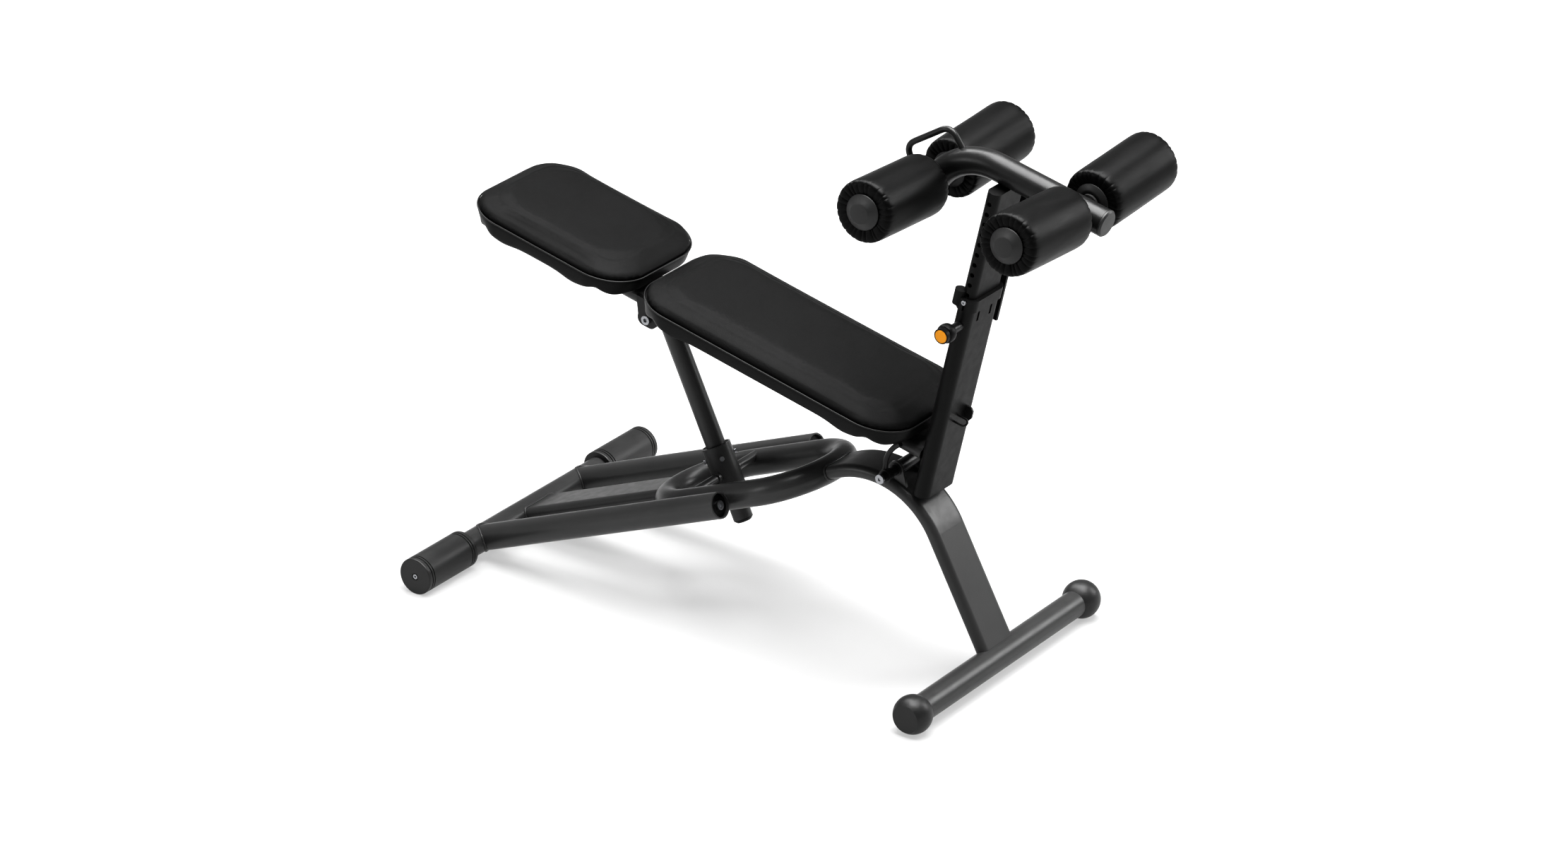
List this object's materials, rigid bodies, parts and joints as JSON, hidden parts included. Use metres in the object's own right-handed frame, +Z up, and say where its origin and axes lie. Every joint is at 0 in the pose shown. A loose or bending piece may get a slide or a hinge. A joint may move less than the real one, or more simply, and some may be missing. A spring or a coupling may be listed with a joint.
{
  "type": "decline sit up bench",
  "caption": "Decline sit up bench: split pad on a tilting frame, sliding strut, telescopic column with foam leg rollers, base on floor rollers and ball feet.",
  "frame": {"origin": "on the floor under the middle of the overall length, in the plane midway between the floor rollers", "axes": "+X from the floor rollers towards the front foot bar, +Y to the left of someone lying on the pads with the head at the rear, +Z up"},
  "size_m": [1.3267, 0.72, 1.0492],
  "materials": {
    "frame_paint": "satin charcoal powder coat",
    "black_paint": "satin black powder coat",
    "pad_cover": "black grained upholstery",
    "foam_cover": "soft black foam with a smooth skin",
    "grey_plastic": "fine texture",
    "black_plastic": "fine texture",
    "steel": "zinc plated",
    "yellow_plastic": "smooth"
  },
  "bodies": {
    "base": {"front_foot_bar": "frame_paint", "ball_feet": "grey_plastic", "main_tube": "frame_paint", "ring_tube": "frame_paint", "left_side_tube": "frame_paint", "right_side_tube": "frame_paint", "side_tube_plugs": "black_plastic", "side_tube_bolts": "steel", "middle_tube": "frame_paint", "rear_foot_bar": "frame_paint", "rear_bar_plugs": "black_plastic", "rear_roller_screws": "steel", "sleeve_trunnions": "frame_paint", "pivot_bearing": "black_paint", "pivot_brackets": "frame_paint"},
    "left_floor_roller": {"left_rear_roller": "grey_plastic"},
    "right_floor_roller": {"right_rear_roller": "grey_plastic"},
    "bench": {"bench_frame_tube": "frame_paint", "oval_end_plugs": "black_plastic", "clevis_ears": "black_paint", "clevis_bolt": "steel", "pivot_arms": "black_paint", "pivot_shaft": "black_paint", "pivot_shaft_bolts": "steel", "rear_pad_shell": "black_plastic", "front_pad_shell": "black_plastic", "rear_pad": "pad_cover", "front_pad": "pad_cover", "pad_screws": "steel", "column_tube": "black_paint", "column_collar": "black_paint", "collar_screw": "steel", "post_guide": "black_plastic", "band_hook": "black_paint", "pop_pin_barrel": "black_paint", "pop_pin_spring": "steel"},
    "sleeve": {"strut_sleeve": "frame_paint", "sleeve_bush": "black_plastic", "sleeve_screws": "steel"},
    "strut": {"strut_tube": "frame_paint", "strut_head": "frame_paint", "strut_end_plug": "black_plastic"},
    "post": {"inner_post": "black_paint", "post_strip": "black_paint", "top_beam": "black_paint", "beam_caps": "grey_plastic", "roller_axles": "frame_paint", "handle": "black_paint"},
    "plunger": {"pop_pin": "steel", "pop_pin_knob": "black_plastic", "knob_insert": "yellow_plastic"},
    "rear_left_leg_roller": {"rear_left_foam": "foam_cover", "rear_left_hubs": "grey_plastic"},
    "rear_right_leg_roller": {"rear_right_foam": "foam_cover", "rear_right_hubs": "grey_plastic"},
    "front_left_leg_roller": {"front_left_foam": "foam_cover", "front_left_hubs": "grey_plastic"},
    "front_right_leg_roller": {"front_right_foam": "foam_cover", "front_right_hubs": "grey_plastic"}
  },
  "joints": [
    {"name": "bench_tilt", "type": "hinge", "parent": "base", "child": "bench", "pos_m": [0.2421, 0, 0.369], "axis": [0, 1, 0], "range_deg": [-13.2, 2]},
    {"name": "sleeve_tilt", "type": "hinge", "parent": "base", "child": "sleeve", "pos_m": [-0.1619, 0, 0.238], "axis": [0, 1, 0], "range_deg": [-18.2, 2.9]},
    {"name": "strut_slide", "type": "slide", "parent": "sleeve", "child": "strut", "axis": [-0.4234, 0, 0.9059], "range_m": [-0.0955, 0.0155]},
    {"name": "post_slide", "type": "slide", "parent": "bench", "child": "post", "axis": [0.2284, 0, 0.9736], "range_m": [-0.168, 0.084]},
    {"name": "plunger_pull", "type": "slide", "parent": "bench", "child": "plunger", "axis": [0, -1, 0], "range_m": [0, 0.01], "stiffness_N_per_m": 900, "springref_m": -0.006, "deforming": ["pop_pin_spring"]},
    {"name": "left_floor_roller_spin", "type": "hinge", "parent": "base", "child": "left_floor_roller", "pos_m": [-0.6219, 0, 0.036], "axis": [0, 1, 0], "continuous": true},
    {"name": "right_floor_roller_spin", "type": "hinge", "parent": "base", "child": "right_floor_roller", "pos_m": [-0.6219, 0, 0.036], "axis": [0, 1, 0], "continuous": true},
    {"name": "rear_left_roller_spin", "type": "hinge", "parent": "post", "child": "rear_left_leg_roller", "pos_m": [0.30073, 0, 0.94259], "axis": [0.0163, 0.9974, 0.0696], "continuous": true},
    {"name": "rear_right_roller_spin", "type": "hinge", "parent": "post", "child": "rear_right_leg_roller", "pos_m": [0.30073, 0, 0.94259], "axis": [0.0163, -0.9974, 0.0696], "continuous": true},
    {"name": "front_left_roller_spin", "type": "hinge", "parent": "post", "child": "front_left_leg_roller", "pos_m": [0.59917, 0, 0.95289], "axis": [0.0163, 0.9974, 0.0696], "continuous": true},
    {"name": "front_right_roller_spin", "type": "hinge", "parent": "post", "child": "front_right_leg_roller", "pos_m": [0.59917, 0, 0.95289], "axis": [0.0163, -0.9974, 0.0696], "continuous": true}
  ],
  "couplings": [
    {"joint": "sleeve_tilt", "follows": "bench_tilt", "ratio": 1.3695},
    {"joint": "strut_slide", "follows": "bench_tilt", "m_per_rad": 0.4096}
  ]
}
